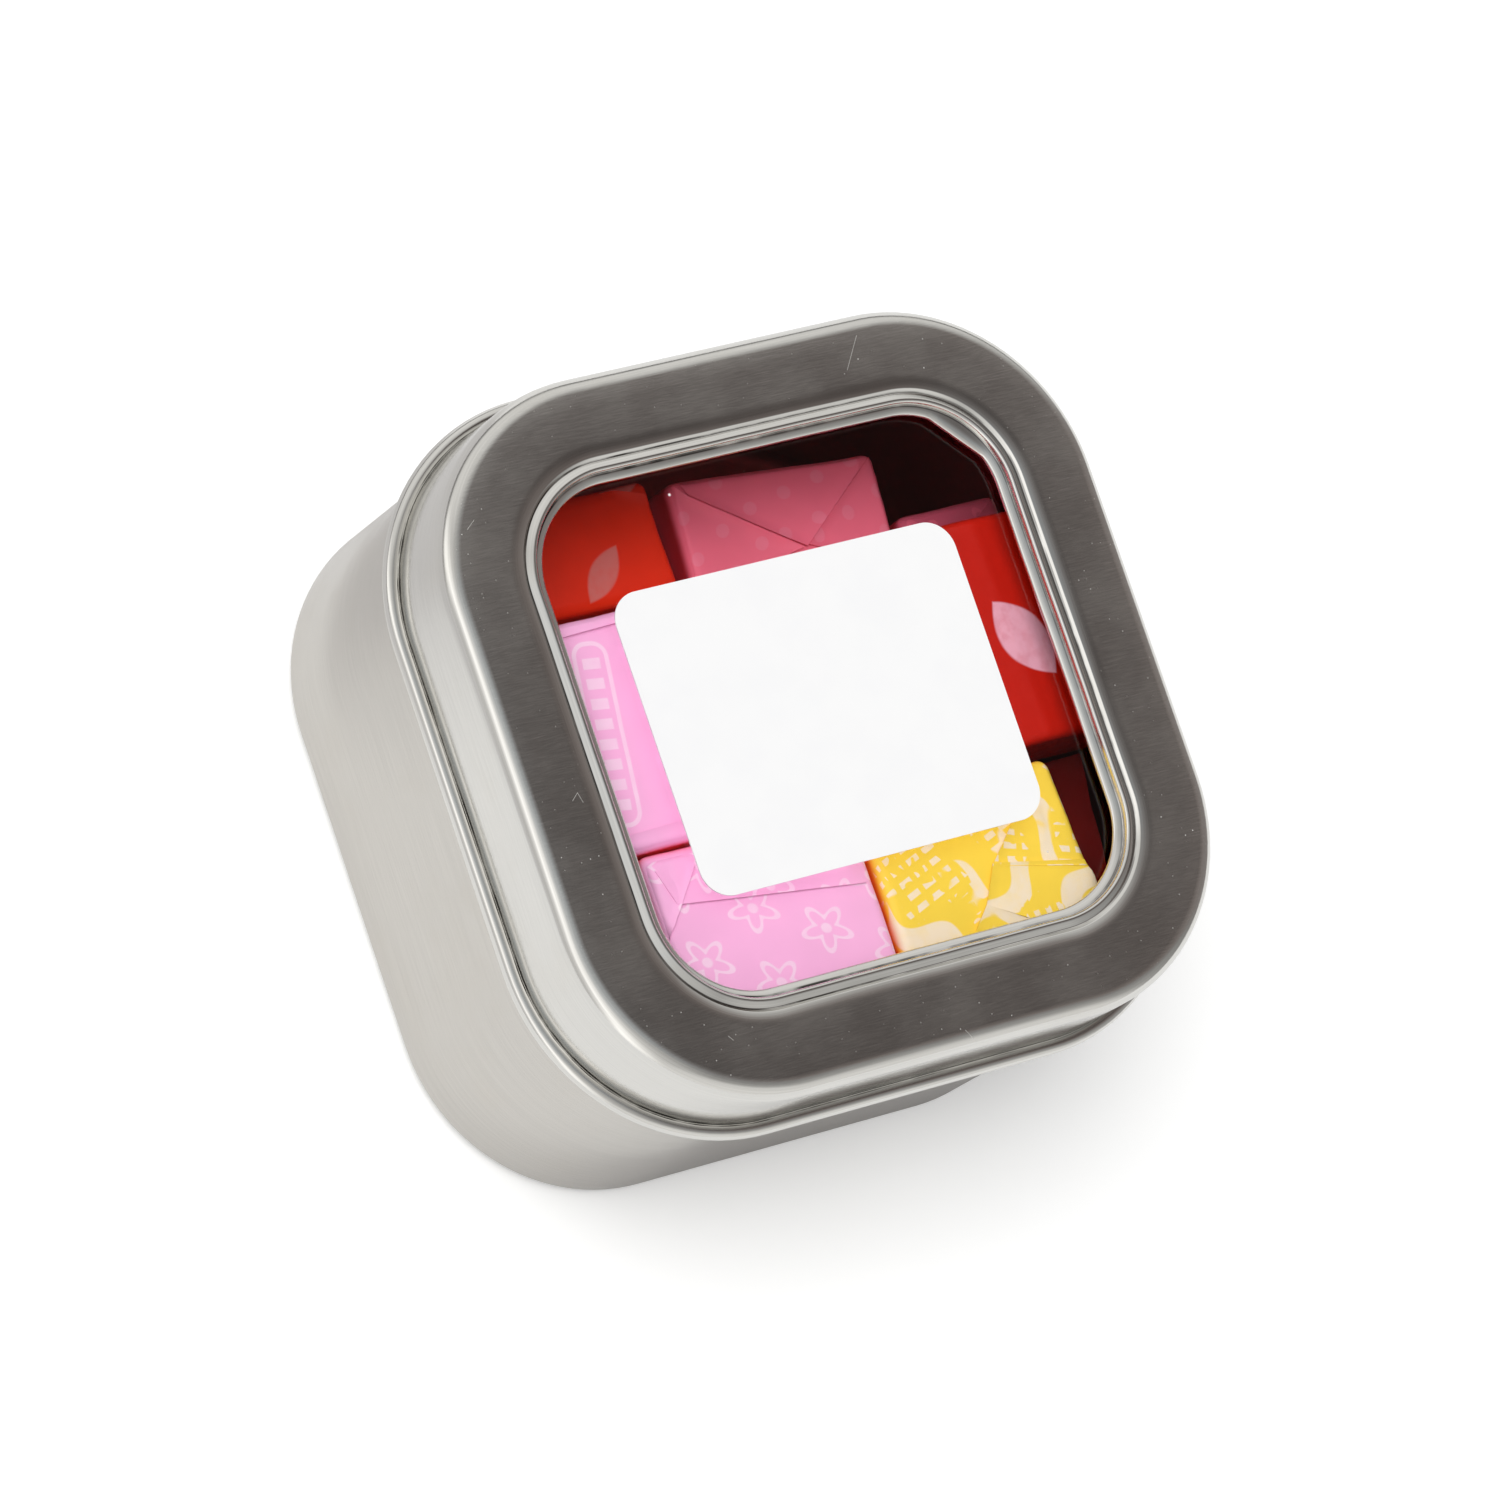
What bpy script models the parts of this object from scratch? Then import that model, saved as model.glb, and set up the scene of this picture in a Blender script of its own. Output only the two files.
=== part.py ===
"""Square slip-lid window tin, filled with wrapped square chews.

Metres, +Z up. The tin stands on its base at z = 0, with its middle on the Z axis.
The lid lifts straight up off the body.
"""
import math

import bmesh
import bpy

# Overall form of the tin
BEAD_WIDTH = 0.0600            # side to side, over the lid's rolled bead
TIN_HEIGHT = 0.0335            # from the base to the lid's face
CORNER_RADIUS = 0.0170         # seen from above, at the bead's outer edge
SHEET = 0.00025                # tinplate thickness
FIT_GAP = 0.0003               # between the lid's skirt and the body's wall
SEAT_GAP = 0.0003              # between pieces that rest on one another

# Lid
LID_DEPTH = 0.0098             # from the face down to the bead's underside
BEAD_RADIUS = 0.000675         # of the rolled bead along the lid's lower edge
BEAD_OVERLAP = 24.0            # degrees that the bead's raw edge runs past its top
SHOULDER_RADIUS = 0.0015
WINDOW_INSET = 0.0097          # from the bead's outer edge to the clear opening
WINDOW_ROLL_RADIUS = 0.0006    # of the roll round the opening
GROOVE_RADIUS = 0.0003         # of the narrow groove outside that roll
FACE_EDGE_RADIUS = 0.0009      # where the flat face turns down into the groove

# Window pane and label
PANE_THICKNESS = 0.0004
PANE_LAP = 0.0023              # how far the pane reaches outside the clear opening
LABEL_MARGIN_X = 0.0050        # clear strip left beside the label, on average
LABEL_MARGIN_Y = 0.00805       # clear strip left behind and before it
LABEL_THICKNESS = 0.00012
LABEL_CORNER_RADIUS = 0.0024
LABEL_OFF_X = -0.00015         # the label is stuck on a little off the middle
LABEL_OFF_Y = -0.00055

# Body
FOOT_RADIUS = 0.0016           # between the base and the wall
FOOT_WIDTH = 0.0026            # flat ring that the tin stands on
RECESS_DEPTH = 0.0004          # of the panel inside that ring
RECESS_OUTER_RADIUS = 0.00055
RECESS_INNER_RADIUS = 0.0003
RIM_RADIUS = 0.0006            # of the inward roll along the body's mouth
RIM_TURN = 260.0               # degrees that the roll goes round

# Wrapped chews
CHEW_LAYERS = 3
CHEW_ROUNDING = 0.0013
FRONT_SPARE = 0.0186           # width that the two front chews leave across the tin
STAND_SPARE = 0.0005           # how much lower a standing chew is than two layers
HEADROOM = 0.00125             # between the top layer and the pane
FRONT_SPLIT_X = 0.0001         # where the two front stacks meet
LEFT_TOP_SHIFT = 0.0002        # small slips of single chews, towards the back
RIGHT_TOP_SHIFT = 0.0009
RIGHT_OUTER_SHIFT = 0.0042
BACK_LEFT_SHIFT = 0.0020
BACK_LEFT_GAP = 0.0009         # between the two back chews
BACK_RIGHT_TURN = -4.0         # degrees
BACK_RIGHT_CLEARANCE = 0.00065 # from its front corner to the chew at its right

# Fineness of the round stretches
CORNER_STEPS = 8
ROLL_STEP = 34.0               # degrees between points along a rolled edge
BEND_STEP = 24.0               # degrees between points along a bend

# Colours: red, green, blue
TINPLATE = (0.64, 0.62, 0.59)
LID_TINPLATE = (0.74, 0.73, 0.70)
CLEAR = (0.93, 0.95, 0.95)
PAPER_WHITE = (0.90, 0.90, 0.90)
PINK = (0.96, 0.42, 0.66)
ROSE = (0.80, 0.22, 0.38)
RED = (0.62, 0.03, 0.01)
YELLOW = (0.96, 0.62, 0.06)

# Sizes that follow from those above
CORNER_CENTRE = BEAD_WIDTH / 2 - CORNER_RADIUS
SKIRT_INSIDE = BEAD_WIDTH / 2 - 2 * BEAD_RADIUS
SKIRT_OUTSIDE = SKIRT_INSIDE + SHEET
BODY_OUTSIDE = SKIRT_INSIDE - FIT_GAP
BODY_INSIDE = BODY_OUTSIDE - SHEET
WINDOW_WIDTH = BEAD_WIDTH - 2 * WINDOW_INSET
BORDER_Z = TIN_HEIGHT - FACE_EDGE_RADIUS
PANE_TOP = BORDER_Z - WINDOW_ROLL_RADIUS - SEAT_GAP
PANE_UNDER = PANE_TOP - PANE_THICKNESS
FLOOR_TOP = RECESS_DEPTH + SHEET
CHEW_SIDE = BODY_INSIDE - FRONT_SPARE / 2
CHEW_THICKNESS = (PANE_UNDER - HEADROOM - FLOOR_TOP) / CHEW_LAYERS - SEAT_GAP
STAND_HEIGHT = 2 * CHEW_THICKNESS + SEAT_GAP - STAND_SPARE


def clear_scene():
    """Remove whatever the file holds."""
    for thing in list(bpy.data.objects):
        bpy.data.objects.remove(thing, do_unlink=True)


def make_material(name, colour, roughness, metallic, alpha=1.0):
    """A Principled material of one colour."""
    material = bpy.data.materials.new(name)
    material.use_nodes = True
    shader = material.node_tree.nodes["Principled BSDF"]
    shader.inputs["Base Color"].default_value = (*colour, 1.0)
    shader.inputs["Roughness"].default_value = roughness
    shader.inputs["Metallic"].default_value = metallic
    shader.inputs["Alpha"].default_value = alpha
    return material


def add_object(name, shape, material, sharp_angle=35.0):
    """Turn a bmesh into a named, smoothly shaded object."""
    bmesh.ops.recalc_face_normals(shape, faces=shape.faces)
    mesh = bpy.data.meshes.new(name)
    shape.to_mesh(mesh)
    shape.free()
    mesh.shade_smooth()
    mesh.set_sharp_from_angle(angle=math.radians(sharp_angle))
    mesh.materials.append(material)
    thing = bpy.data.objects.new(name, mesh)
    bpy.context.collection.objects.link(thing)
    return thing


# Outlines


def rounded_rectangle(half_x, half_y, radius, steps=CORNER_STEPS):
    """Points of a rounded rectangle, counter-clockwise."""
    points = []
    for quarter, (side_x, side_y) in enumerate(((1, 1), (-1, 1), (-1, -1), (1, -1))):
        for step in range(steps + 1):
            angle = math.pi / 2 * (quarter + step / steps)
            points.append((side_x * (half_x - radius) + radius * math.cos(angle),
                           side_y * (half_y - radius) + radius * math.sin(angle)))
    return points


def bend(out, height, shown_radius, hidden_radius, start, end, step=BEND_STEP):
    """One bend of the sheet: its shown side and its hidden side, as (out, height) points.

    out and height are the bend's centre, measured from the tin's middle and from its base.
    """
    count = max(2, math.ceil(abs(end - start) / step))
    shown = []
    hidden = []
    for index in range(count + 1):
        angle = math.radians(start + (end - start) * index / count)
        for side, radius in ((shown, shown_radius), (hidden, hidden_radius)):
            side.append((out + radius * math.cos(angle), height + radius * math.sin(angle)))
    return shown, hidden


def sheet_outline(bends):
    """Closed outline of a sheet that runs straight between its bends."""
    shown = []
    hidden = []
    for near_side, far_side in bends:
        repeats = bool(shown) and math.dist(shown[-1], near_side[0]) < SHEET / 100
        shown += near_side[repeats:]
        hidden += far_side[repeats:]
    return shown + hidden[::-1]


def sweep(shape, outline):
    """Rings of points round the tin's rounded square, one for each point of the outline."""
    rings = []
    for out, height in outline:
        plan = rounded_rectangle(out, out, out - CORNER_CENTRE)
        rings.append([shape.verts.new((x, y, height)) for x, y in plan])
    return rings


def join_rings(shape, rings, closed):
    """Skin neighbouring rings with four-sided faces."""
    pairs = list(zip(rings, rings[1:]))
    if closed:
        pairs.append((rings[-1], rings[0]))
    for lower, upper in pairs:
        for index in range(len(lower)):
            after = (index + 1) % len(lower)
            shape.faces.new((lower[index], lower[after], upper[after], upper[index]))


# Tin


def make_lid_frame(material):
    """Lid of one drawn sheet: rolled window edge, face, shoulder, skirt and rolled bead."""
    roll_out = WINDOW_WIDTH / 2 + WINDOW_ROLL_RADIUS
    groove_out = roll_out + WINDOW_ROLL_RADIUS + GROOVE_RADIUS
    face_edge_out = groove_out + GROOVE_RADIUS + FACE_EDGE_RADIUS
    shoulder_out = SKIRT_OUTSIDE - SHOULDER_RADIUS
    shoulder_z = TIN_HEIGHT - SHOULDER_RADIUS
    bead_out = SKIRT_INSIDE + BEAD_RADIUS
    bead_z = TIN_HEIGHT - LID_DEPTH + BEAD_RADIUS
    outline = sheet_outline([
        bend(roll_out, BORDER_Z, WINDOW_ROLL_RADIUS, WINDOW_ROLL_RADIUS - SHEET, 270, 0, ROLL_STEP),
        bend(groove_out, BORDER_Z, GROOVE_RADIUS, GROOVE_RADIUS + SHEET, 180, 360, ROLL_STEP),
        bend(face_edge_out, BORDER_Z, FACE_EDGE_RADIUS, FACE_EDGE_RADIUS - SHEET, 180, 90),
        bend(shoulder_out, shoulder_z, SHOULDER_RADIUS, SHOULDER_RADIUS - SHEET, 90, 0),
        bend(bead_out, bead_z, BEAD_RADIUS - SHEET, BEAD_RADIUS, 180, 360, ROLL_STEP),
        bend(bead_out, bead_z, BEAD_RADIUS - SHEET, BEAD_RADIUS, 360, 450 + BEAD_OVERLAP, ROLL_STEP),
    ])
    shape = bmesh.new()
    join_rings(shape, sweep(shape, outline), closed=True)
    return add_object("lid_frame", shape, material)


def make_tin_body(material):
    """Seamless drawn cup with a recessed base panel and an inward roll along its mouth."""
    turn = math.degrees(math.acos(1 - RECESS_DEPTH / (RECESS_OUTER_RADIUS + RECESS_INNER_RADIUS)))
    foot_out = BODY_OUTSIDE - FOOT_RADIUS
    step_out = foot_out - FOOT_WIDTH
    reach = (RECESS_OUTER_RADIUS + RECESS_INNER_RADIUS) * math.sin(math.radians(turn))
    rim_out = BODY_OUTSIDE - RIM_RADIUS
    rim_z = TIN_HEIGHT - SHOULDER_RADIUS
    outline = sheet_outline([
        bend(step_out - reach, RECESS_DEPTH - RECESS_INNER_RADIUS, RECESS_INNER_RADIUS,
             RECESS_INNER_RADIUS + SHEET, 90, 90 - turn),
        bend(step_out, RECESS_OUTER_RADIUS, RECESS_OUTER_RADIUS, RECESS_OUTER_RADIUS - SHEET,
             270 - turn, 270),
        bend(foot_out, FOOT_RADIUS, FOOT_RADIUS, FOOT_RADIUS - SHEET, 270, 360),
        bend(rim_out, rim_z, RIM_RADIUS, RIM_RADIUS - SHEET, 0, RIM_TURN, ROLL_STEP),
    ])
    shape = bmesh.new()
    rings = sweep(shape, outline)
    join_rings(shape, rings, closed=False)
    shape.faces.new(rings[0])
    shape.faces.new(rings[-1])
    bmesh.ops.triangulate(shape, faces=[face for face in shape.faces if len(face.verts) > 4])
    return add_object("tin_body", shape, material)


def make_plate(name, width, depth, radius, under, thickness, middle, material):
    """Flat sheet with rounded corners; middle is its centre seen from above."""
    shape = bmesh.new()
    plan = rounded_rectangle(width / 2, depth / 2, radius)
    outline = [shape.verts.new((middle[0] + x, middle[1] + y, under)) for x, y in plan]
    floor = shape.faces.new(outline)
    raised = bmesh.ops.extrude_face_region(shape, geom=[floor])
    top = [part for part in raised["geom"] if isinstance(part, bmesh.types.BMVert)]
    bmesh.ops.translate(shape, verts=top, vec=(0, 0, thickness))
    return add_object(name, shape, material)


def make_pane(material):
    """Clear sheet behind the window's rolled edge."""
    width = WINDOW_WIDTH + 2 * PANE_LAP
    radius = width / 2 - CORNER_CENTRE
    return make_plate("window_pane", width, width, radius, PANE_UNDER, PANE_THICKNESS, (0, 0), material)


def make_label(material):
    """Blank paper label on the pane."""
    return make_plate("window_label", WINDOW_WIDTH - 2 * LABEL_MARGIN_X,
                      WINDOW_WIDTH - 2 * LABEL_MARGIN_Y, LABEL_CORNER_RADIUS,
                      PANE_TOP + SEAT_GAP, LABEL_THICKNESS, (LABEL_OFF_X, LABEL_OFF_Y), material)


# Chews


def make_chew(name, middle, low, lies, material, turn=0.0):
    """One wrapped chew, as a soft-edged block.

    middle is its centre seen from above, low is its underside. It lies flat, or stands on
    an end with its flat sides facing along X or along Y.
    """
    sides = {"flat": (CHEW_SIDE, CHEW_SIDE, CHEW_THICKNESS),
             "faces_x": (CHEW_THICKNESS, CHEW_SIDE, STAND_HEIGHT),
             "faces_y": (CHEW_SIDE, CHEW_THICKNESS, STAND_HEIGHT)}[lies]
    shape = bmesh.new()
    bmesh.ops.create_cube(shape, size=1)
    bmesh.ops.scale(shape, verts=shape.verts, vec=sides)
    bmesh.ops.bevel(shape, geom=shape.edges, offset=CHEW_ROUNDING, segments=2, profile=0.5,
                    affect="EDGES")
    chew = add_object(name, shape, material)
    chew.location = (middle[0], middle[1], low + sides[2] / 2)
    chew.rotation_euler = (0, 0, math.radians(turn))
    return chew


def tucked_reach(reach_x):
    """How far towards the front a chew's corner can go where its side is reach_x out."""
    radius = BODY_INSIDE - CORNER_CENTRE - SEAT_GAP - CHEW_ROUNDING
    across = max(0, reach_x - CHEW_ROUNDING - CORNER_CENTRE)
    return CORNER_CENTRE + math.sqrt(radius ** 2 - across ** 2) + CHEW_ROUNDING


def make_chews(materials):
    """Front stacks, side stack, and the chews that stand on their ends."""
    half = CHEW_SIDE / 2
    thin = CHEW_THICKNESS / 2
    floor = FLOOR_TOP + SEAT_GAP
    layer = CHEW_THICKNESS + SEAT_GAP
    wall = BODY_INSIDE - SEAT_GAP

    front_left_x = FRONT_SPLIT_X - SEAT_GAP / 2 - half
    front_right_x = FRONT_SPLIT_X + SEAT_GAP / 2 + half
    front_reach = tucked_reach(max(half - front_left_x, half + front_right_x))
    front_y = half - front_reach
    middle_y = front_y + CHEW_SIDE + SEAT_GAP
    back_edge = middle_y + half + SEAT_GAP
    side_x = wall - half

    stacks = (
        ("chew_front_left", front_left_x, front_y, (0, 0, 0), ("yellow", "red", "pink")),
        ("chew_front_right", front_right_x, front_y, (0, 0, 0), ("pink", "red", "yellow")),
        ("chew_left", -side_x, middle_y, (0, 0, LEFT_TOP_SHIFT), ("red", "red", "pink")),
    )
    for stack, x, y, shifts, colours in stacks:
        for level, (place, shift, colour) in enumerate(zip(("low", "mid", "top"), shifts, colours)):
            make_chew(f"{stack}_{place}", (x, y + shift), floor + level * layer, "flat",
                      materials[colour])

    right_outer_x = wall - thin
    right_inner_x = right_outer_x - CHEW_THICKNESS - SEAT_GAP
    centre_x = -side_x + half + SEAT_GAP + thin
    make_chew("chew_right_outer", (right_outer_x, middle_y + RIGHT_OUTER_SHIFT), floor, "faces_x",
              materials["pink"])
    make_chew("chew_right_inner", (right_inner_x, middle_y), floor, "faces_x", materials["yellow"])
    make_chew("chew_centre", (centre_x, middle_y), floor, "faces_x", materials["red"])
    make_chew("chew_right_top", (side_x, middle_y + RIGHT_TOP_SHIFT),
              floor + STAND_HEIGHT + SEAT_GAP, "flat", materials["red"])

    turn = math.radians(abs(BACK_RIGHT_TURN))
    turned_x = half * math.cos(turn) + thin * math.sin(turn)
    turned_y = half * math.sin(turn) + thin * math.cos(turn)
    front_corner_x = half * math.cos(turn) - thin * math.sin(turn)
    back_right_x = right_outer_x - thin - BACK_RIGHT_CLEARANCE - front_corner_x
    back_left_x = back_right_x - turned_x - BACK_LEFT_GAP - half
    make_chew("chew_back_left", (back_left_x, back_edge + thin + BACK_LEFT_SHIFT), floor,
              "faces_y", materials["red"])
    make_chew("chew_back_right", (back_right_x, back_edge + turned_y), floor, "faces_y",
              materials["rose"], BACK_RIGHT_TURN)


# Assembly


def main():
    clear_scene()
    body_metal = make_material("body_tinplate", TINPLATE, 0.34, 1.0)
    lid_metal = make_material("lid_tinplate", LID_TINPLATE, 0.36, 1.0)
    clear = make_material("clear_sheet", CLEAR, 0.05, 0.0, alpha=0.25)
    paper = make_material("label_paper", PAPER_WHITE, 0.6, 0.0)
    wrappers = {name: make_material(f"{name}_wrapper", colour, 0.42, 0.0)
                for name, colour in (("pink", PINK), ("rose", ROSE), ("red", RED), ("yellow", YELLOW))}

    make_tin_body(body_metal)
    lid_lift = bpy.data.objects.new("lid_lift", None)
    bpy.context.collection.objects.link(lid_lift)
    for piece in (make_lid_frame(lid_metal), make_pane(clear), make_label(paper)):
        piece.parent = lid_lift
    make_chews(wrappers)


main()
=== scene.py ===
"""Looks of a square window tin: tinplate, clear pane, paper label, wrapped chews, light and camera.

Metres, +Z up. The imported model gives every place; the sheet's bends repeat its sizes, finer.
"""
import math

import bmesh
import bpy
from mathutils import Matrix, Vector, noise


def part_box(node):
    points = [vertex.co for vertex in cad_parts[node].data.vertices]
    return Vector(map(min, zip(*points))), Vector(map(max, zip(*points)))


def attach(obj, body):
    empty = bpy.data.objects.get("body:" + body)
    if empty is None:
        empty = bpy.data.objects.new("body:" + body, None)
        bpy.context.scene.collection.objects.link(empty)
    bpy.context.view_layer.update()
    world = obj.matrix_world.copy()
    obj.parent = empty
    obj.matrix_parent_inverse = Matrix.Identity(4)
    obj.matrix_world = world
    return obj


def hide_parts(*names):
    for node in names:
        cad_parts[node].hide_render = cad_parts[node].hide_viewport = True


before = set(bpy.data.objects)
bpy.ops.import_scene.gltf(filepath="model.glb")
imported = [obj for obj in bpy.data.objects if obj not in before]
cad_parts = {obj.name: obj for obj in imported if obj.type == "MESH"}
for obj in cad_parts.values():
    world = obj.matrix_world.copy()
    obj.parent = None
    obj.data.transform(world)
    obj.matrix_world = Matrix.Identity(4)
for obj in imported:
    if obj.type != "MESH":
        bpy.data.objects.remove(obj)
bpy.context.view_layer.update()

noise.seed_set(1)  # the same unevenness in each run

# Sheet of the lid and the body
CORNER_RADIUS = 0.0170  # seen from above, at the bead's outer edge
SHEET = 0.00025
FIT_GAP = 0.0003  # between the lid's skirt and the body's wall
BEAD_RADIUS = 0.000675
BEAD_OVERLAP = 36.0  # degrees that the bead's raw edge runs past its top
SHOULDER_RADIUS = 0.0015
FOOT_RADIUS = 0.0016
FOOT_WIDTH = 0.0026
RECESS_DEPTH = 0.0004
RECESS_OUTER_RADIUS = 0.00055
RECESS_INNER_RADIUS = 0.0003
RIM_RADIUS = 0.0006
RIM_TURN = 260.0  # degrees that the mouth's inward roll goes round

# The window's rolled border, from the lid's face inwards
BORDER_INSET = 0.0066  # from the bead's outer edge to where the face bends down
BORDER_MOVES = (
    (0.0062, 10), (0.00015, 30), (0.00028,),  # a gentle fall, then a steep one
    (0.0001, -71), (0.00046,),  # groove, and the roll's outer slope
    (0.00028, 111), (0.0003,),  # roll, and its steep inner flank
    (0.00008, -70), (0.0014, 24),  # crease, and a rounded lip
    (0.00027, 146),  # hem
)
GROOVE_MOVES = 3  # moves from the face down to the groove
CREASE_MOVES = 8  # and to the crease inside the roll

# Unevenness of the lid: how many waves a metre, and how high they are
BORDER_WAVES = ((110, 0.00004), (420, 0.000014))
BORDER_CALM = 0.0005  # how far in from its outer edge the border is even
BORDER_FADE = 0.0008
BORDER_DEPTH = 0.0025  # how far down the border is uneven
FACE_WAVES = (70, 0.00001)

# One corner of the window's edge runs straight instead of round
FLAT_CORNER_MIDDLE = 42.0  # degrees round the back right corner
FLAT_CORNER_HALF = 21.0
FLAT_CORNER_OUT = 0.0210  # only the lip inside this is flattened
FLAT_CORNER_FADE = 0.0004

# Label and chews
LABEL_CORNER_RADIUS = 0.0024
CHEW_ROUNDING = 0.0009
CHEW_WAVES = ((120, 0.00009), (330, 0.00006), (900, 0.000025))  # as for the lid
CHEW_INSET = 0.00009  # how far the middle of the waves lies inside the box
PAPER = 0.00006  # thickness of a wrapper
LAYER = 0.00007  # from one folded layer to the next
FREE_WITHIN = 0.93  # share of a side within which a fold's edge lies free
LOOSE_EDGE = 0.00016  # how far such an edge stands up
LOOSE_WIDTH = 0.0007
TUCK_WIDTH = 0.6 * CHEW_ROUNDING  # along a side's edge, where a fold goes under
TUCK_DEPTH = 0.3 * PAPER
PRINT_SHIFT = (0.013, 0.007)  # of the print from one layer to the next
LOOSE_CORNERS = ((0.0183, -0.0072), (0.0264, -0.0071), (0.025, -0.0182), (0.0183, -0.0192))
LOOSE_CURL = 0.0006  # how far its outer edge stands up
LOOSE_WAVES = (300, 0.0004)
LOOSE_DEPTH = 0.0010  # how deep it counts for the wrapper's painted shade
BACK_RIGHT_TURN = -4.0  # degrees

# Fineness of the meshes
ARC_STEPS = 26  # along each corner of the tin
RUN_STEPS = 30  # along each straight side of the tin
BEND_STEP = 8.0  # degrees between points along a bend
RUN_LENGTH = 0.0015
ROUND_STEPS = 5  # over a chew's rounded edge
FLAP_CUTS = 15
LOOSE_STEPS = 14
SHEET_SHARP = 45.0  # degrees, from which an edge isn't smoothed
WRAPPER_SHARP = 50.0

# Camera: its place, and its right and up directions
CAMERA_PLACE = (-0.30651, -0.094, 0.56813)
CAMERA_RIGHT = (0.84999, -0.31962, 0.41875)
CAMERA_UP = (0.21427, 0.93595, 0.27944)
CAMERA_LENS = 196.096  # millimetres, like the sensor's width
CAMERA_SENSOR = 36.0

lid_low, lid_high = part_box("lid_frame")
label_low, label_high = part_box("window_label")

TOP = lid_high.z
CORNER_CENTRE = lid_high.x - CORNER_RADIUS
BORDER_OUT = lid_high.x - BORDER_INSET
SKIRT_INSIDE = lid_high.x - 2 * BEAD_RADIUS
SKIRT_OUTSIDE = SKIRT_INSIDE + SHEET
BODY_OUTSIDE = SKIRT_INSIDE - FIT_GAP
CORNER_SIDES = ((1, 1), (-1, 1), (-1, -1), (1, -1))


# Sheet metal


def left_of(heading):
    """Direction to the left of a heading in degrees."""
    return Vector((-math.sin(math.radians(heading)), math.cos(math.radians(heading))))


def walk(start, heading, moves, hidden_side):
    """Follow a sheet's section: its shown and its hidden face, as (out, height) points.

    A move of one value is a straight run. A move of two is a bend: its radius on the shown face
    and its turn in degrees, above zero to the left. hidden_side is 1 where the hidden face lies
    to the left of the way, and -1 where it lies to the right.
    """
    place = Vector(start)
    shown = []
    hidden = []

    def mark(spot, angle):
        shown.append(tuple(spot))
        hidden.append(tuple(spot + left_of(angle) * SHEET * hidden_side))

    mark(place, heading)
    for move in moves:
        if len(move) == 1:
            ahead = left_of(heading - 90) * move[0]
            count = math.ceil(move[0] / RUN_LENGTH)
            for step in range(1, count + 1):
                mark(place + ahead * step / count, heading)
            place = place + ahead
        else:
            radius, turn = move
            arm = math.copysign(radius, turn)
            centre = place + left_of(heading) * arm
            count = max(3, math.ceil(abs(turn) / BEND_STEP))
            for step in range(1, count + 1):
                angle = heading + turn * step / count
                mark(centre - left_of(angle) * arm, angle)
            heading += turn
            place = centre - left_of(heading) * arm
    return shown, hidden


def ring_out(point):
    """How far out a point lies on the tin's rounded square."""
    past_x = max(0.0, abs(point.x) - CORNER_CENTRE)
    past_y = max(0.0, abs(point.y) - CORNER_CENTRE)
    return CORNER_CENTRE + math.hypot(past_x, past_y)


def corner_arc(quarter, centre_x, centre_y, radius):
    """Points along one rounded corner, counter-clockwise."""
    side_x, side_y = CORNER_SIDES[quarter]
    angles = [math.pi / 2 * (quarter + step / ARC_STEPS) for step in range(ARC_STEPS + 1)]
    return [Vector((side_x * centre_x + radius * math.cos(angle),
                    side_y * centre_y + radius * math.sin(angle), 0)) for angle in angles]


def ring_points(out):
    """Points round the tin's rounded square, out from its middle, counter-clockwise."""
    points = []
    for quarter, (side_x, side_y) in enumerate(CORNER_SIDES):
        next_x, next_y = CORNER_SIDES[(quarter + 1) % 4]
        points += corner_arc(quarter, CORNER_CENTRE, CORNER_CENTRE, out - CORNER_CENTRE)
        start = points[-1]
        end = start + Vector((next_x - side_x, next_y - side_y, 0)) * CORNER_CENTRE
        points += [start.lerp(end, step / RUN_STEPS) for step in range(1, RUN_STEPS)]
    return points


def sweep(shape, outline, wobble):
    """Rings of points round the tin, one for each point of the outline."""
    rings = []
    for out, height in outline:
        ring = []
        for point in ring_points(out):
            point.z = height
            ring.append(shape.verts.new(point + wobble(point)))
        rings.append(ring)
    return rings


def join_rings(shape, rings, closed):
    """Skin neighbouring rings with four-sided faces."""
    pairs = list(zip(rings, rings[1:]))
    if closed:
        pairs.append((rings[-1], rings[0]))
    for lower, upper in pairs:
        for index in range(len(lower)):
            after = (index + 1) % len(lower)
            shape.faces.new((lower[index], lower[after], upper[after], upper[index]))


def still(point):
    """No wobble."""
    return Vector((0, 0, 0))


def flat_corner(point, out):
    """Shift that lays the window's lip straight across part of one corner."""
    x = point.x - CORNER_CENTRE
    y = point.y - CORNER_CENTRE
    angle = math.degrees(math.atan2(y, x)) - FLAT_CORNER_MIDDLE
    if min(x, y) <= 0 or out >= FLAT_CORNER_OUT or abs(angle) >= FLAT_CORNER_HALF:
        return Vector((0, 0, 0))
    share = math.cos(math.radians(FLAT_CORNER_HALF)) / math.cos(math.radians(angle)) - 1
    return Vector((x, y, 0)) * share * min(1.0, (FLAT_CORNER_OUT - out) / FLAT_CORNER_FADE)


def lid_wobble(point):
    """Uneven rolling of the window's border, its flat corner, and a barely wavy face."""
    out = ring_out(point)
    shift = flat_corner(point, out)
    if point.z > TOP - BORDER_DEPTH:
        fade = min(1.0, max(0.0, (BORDER_OUT - BORDER_CALM - out) / BORDER_FADE))
        for count, height in BORDER_WAVES:
            shift += noise.noise_vector(point * count) * height * fade
    count, height = FACE_WAVES
    shift.z += height * (noise.noise(point * count) - 1)
    shift.z = min(shift.z, TOP - point.z)
    return shift


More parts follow.
